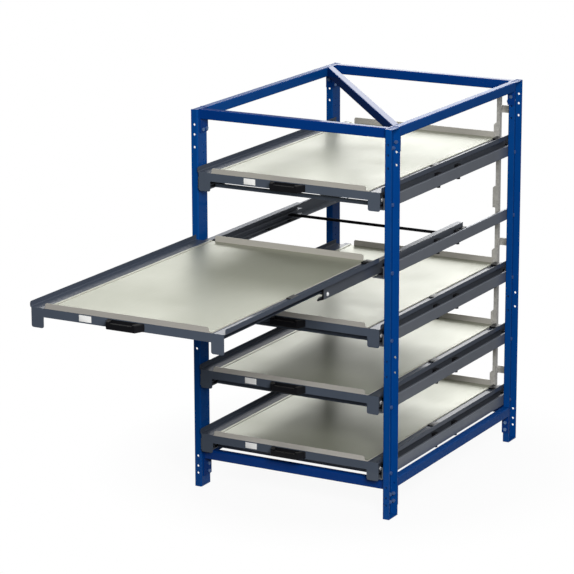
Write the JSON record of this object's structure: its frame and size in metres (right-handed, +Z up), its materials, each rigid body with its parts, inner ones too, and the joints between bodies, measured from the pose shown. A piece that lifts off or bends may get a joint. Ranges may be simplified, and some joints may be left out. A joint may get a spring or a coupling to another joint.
{
  "type": "pull-out tray rack",
  "caption": "Open bolted steel frame with full-extension pull-out trays on telescopic rails, bow handles and a sliding interlock bar, for storing heavy tools and parts.",
  "frame": {"origin": "centre of the frame's footprint on the floor", "axes": "+Z up, front with the handles towards -Y, +X to the right seen from the front"},
  "size_m": [0.85, 2.35, 1.5],
  "materials": {
    "blue_paint": "glossy powder coat",
    "anthracite_paint": "satin powder coat",
    "sheet_steel": "bright rolled sheet",
    "zinc_steel": "zinc plated",
    "galvanised_steel": "galvanised sheet",
    "black_plastic": "moulded, fine grain",
    "white_card": "blank label card",
    "black_steel": "black coated steel"
  },
  "bodies": {
    "frame": {"post_front_left": "blue_paint", "post_front_right": "blue_paint", "post_back_left": "blue_paint", "post_back_right": "blue_paint", "top_beam_front": "blue_paint", "top_beam_back": "blue_paint", "top_beam_left": "blue_paint", "top_beam_right": "blue_paint", "bottom_beam_front": "blue_paint", "bottom_beam_back": "blue_paint", "bottom_beam_left": "blue_paint", "bottom_beam_right": "blue_paint", "top_brace": "blue_paint", "post_plates": "blue_paint", "beam_end_plates": "blue_paint", "frame_bolts": "zinc_steel", "interlock_brackets": "galvanised_steel", "rail_bars": "anthracite_paint", "rail_glides": "black_plastic", "fixed_rails_1": "anthracite_paint", "fixed_rails_2": "anthracite_paint", "fixed_rails_3": "anthracite_paint", "fixed_rails_4": "anthracite_paint", "fixed_rails_5": "anthracite_paint"},
    "interlock": {"interlock_bar": "galvanised_steel"},
    "mid_1": {"mid_rails_1": "anthracite_paint", "mid_glides_1": "black_plastic", "mid_rod_1": "black_steel"},
    "tray_1": {"tray_frame_1": "anthracite_paint", "front_panel_1": "anthracite_paint", "tray_sheet_1": "sheet_steel", "pull_handle_1": "black_plastic"},
    "mid_2": {"mid_rails_2": "anthracite_paint", "mid_glides_2": "black_plastic", "mid_rod_2": "black_steel"},
    "tray_2": {"tray_frame_2": "anthracite_paint", "front_panel_2": "anthracite_paint", "tray_sheet_2": "sheet_steel", "pull_handle_2": "black_plastic"},
    "mid_3": {"mid_rails_3": "anthracite_paint", "mid_glides_3": "black_plastic", "mid_rod_3": "black_steel"},
    "tray_3": {"tray_frame_3": "anthracite_paint", "front_panel_3": "anthracite_paint", "tray_sheet_3": "sheet_steel", "pull_handle_3": "black_plastic"},
    "mid_4": {"mid_rails_4": "anthracite_paint", "mid_glides_4": "black_plastic", "mid_rod_4": "black_steel"},
    "tray_4": {"tray_frame_4": "anthracite_paint", "front_panel_4": "anthracite_paint", "tray_sheet_4": "sheet_steel", "pull_handle_4": "black_plastic"},
    "mid_5": {"mid_rails_5": "anthracite_paint", "mid_glides_5": "black_plastic", "mid_rod_5": "black_steel"},
    "tray_5": {"tray_frame_5": "anthracite_paint", "front_panel_5": "anthracite_paint", "tray_sheet_5": "sheet_steel", "pull_handle_5": "black_plastic"}
  },
  "joints": [
    {"name": "interlock_slide", "type": "slide", "parent": "frame", "child": "interlock", "axis": [0, 0, 1], "range_m": [0, 0.012]},
    {"name": "tray_1_slide", "type": "slide", "parent": "frame", "child": "tray_1", "axis": [0, -1, 0], "range_m": [0, 1.14]},
    {"name": "mid_1_slide", "type": "slide", "parent": "frame", "child": "mid_1", "axis": [0, -1, 0], "range_m": [0, 0.4251]},
    {"name": "tray_2_slide", "type": "slide", "parent": "frame", "child": "tray_2", "axis": [0, -1, 0], "range_m": [-1.14, 0]},
    {"name": "mid_2_slide", "type": "slide", "parent": "frame", "child": "mid_2", "axis": [0, -1, 0], "range_m": [-0.4251, 0]},
    {"name": "tray_3_slide", "type": "slide", "parent": "frame", "child": "tray_3", "axis": [0, -1, 0], "range_m": [0, 1.14]},
    {"name": "mid_3_slide", "type": "slide", "parent": "frame", "child": "mid_3", "axis": [0, -1, 0], "range_m": [0, 0.4251]},
    {"name": "tray_4_slide", "type": "slide", "parent": "frame", "child": "tray_4", "axis": [0, -1, 0], "range_m": [0, 1.14]},
    {"name": "mid_4_slide", "type": "slide", "parent": "frame", "child": "mid_4", "axis": [0, -1, 0], "range_m": [0, 0.4251]},
    {"name": "tray_5_slide", "type": "slide", "parent": "frame", "child": "tray_5", "axis": [0, -1, 0], "range_m": [0, 1.14]},
    {"name": "mid_5_slide", "type": "slide", "parent": "frame", "child": "mid_5", "axis": [0, -1, 0], "range_m": [0, 0.4251]}
  ],
  "couplings": [
    {"joint": "mid_1_slide", "follows": "tray_1_slide", "ratio": 0.37281},
    {"joint": "mid_2_slide", "follows": "tray_2_slide", "ratio": 0.37281},
    {"joint": "mid_3_slide", "follows": "tray_3_slide", "ratio": 0.37281},
    {"joint": "mid_4_slide", "follows": "tray_4_slide", "ratio": 0.37281},
    {"joint": "mid_5_slide", "follows": "tray_5_slide", "ratio": 0.37281}
  ]
}
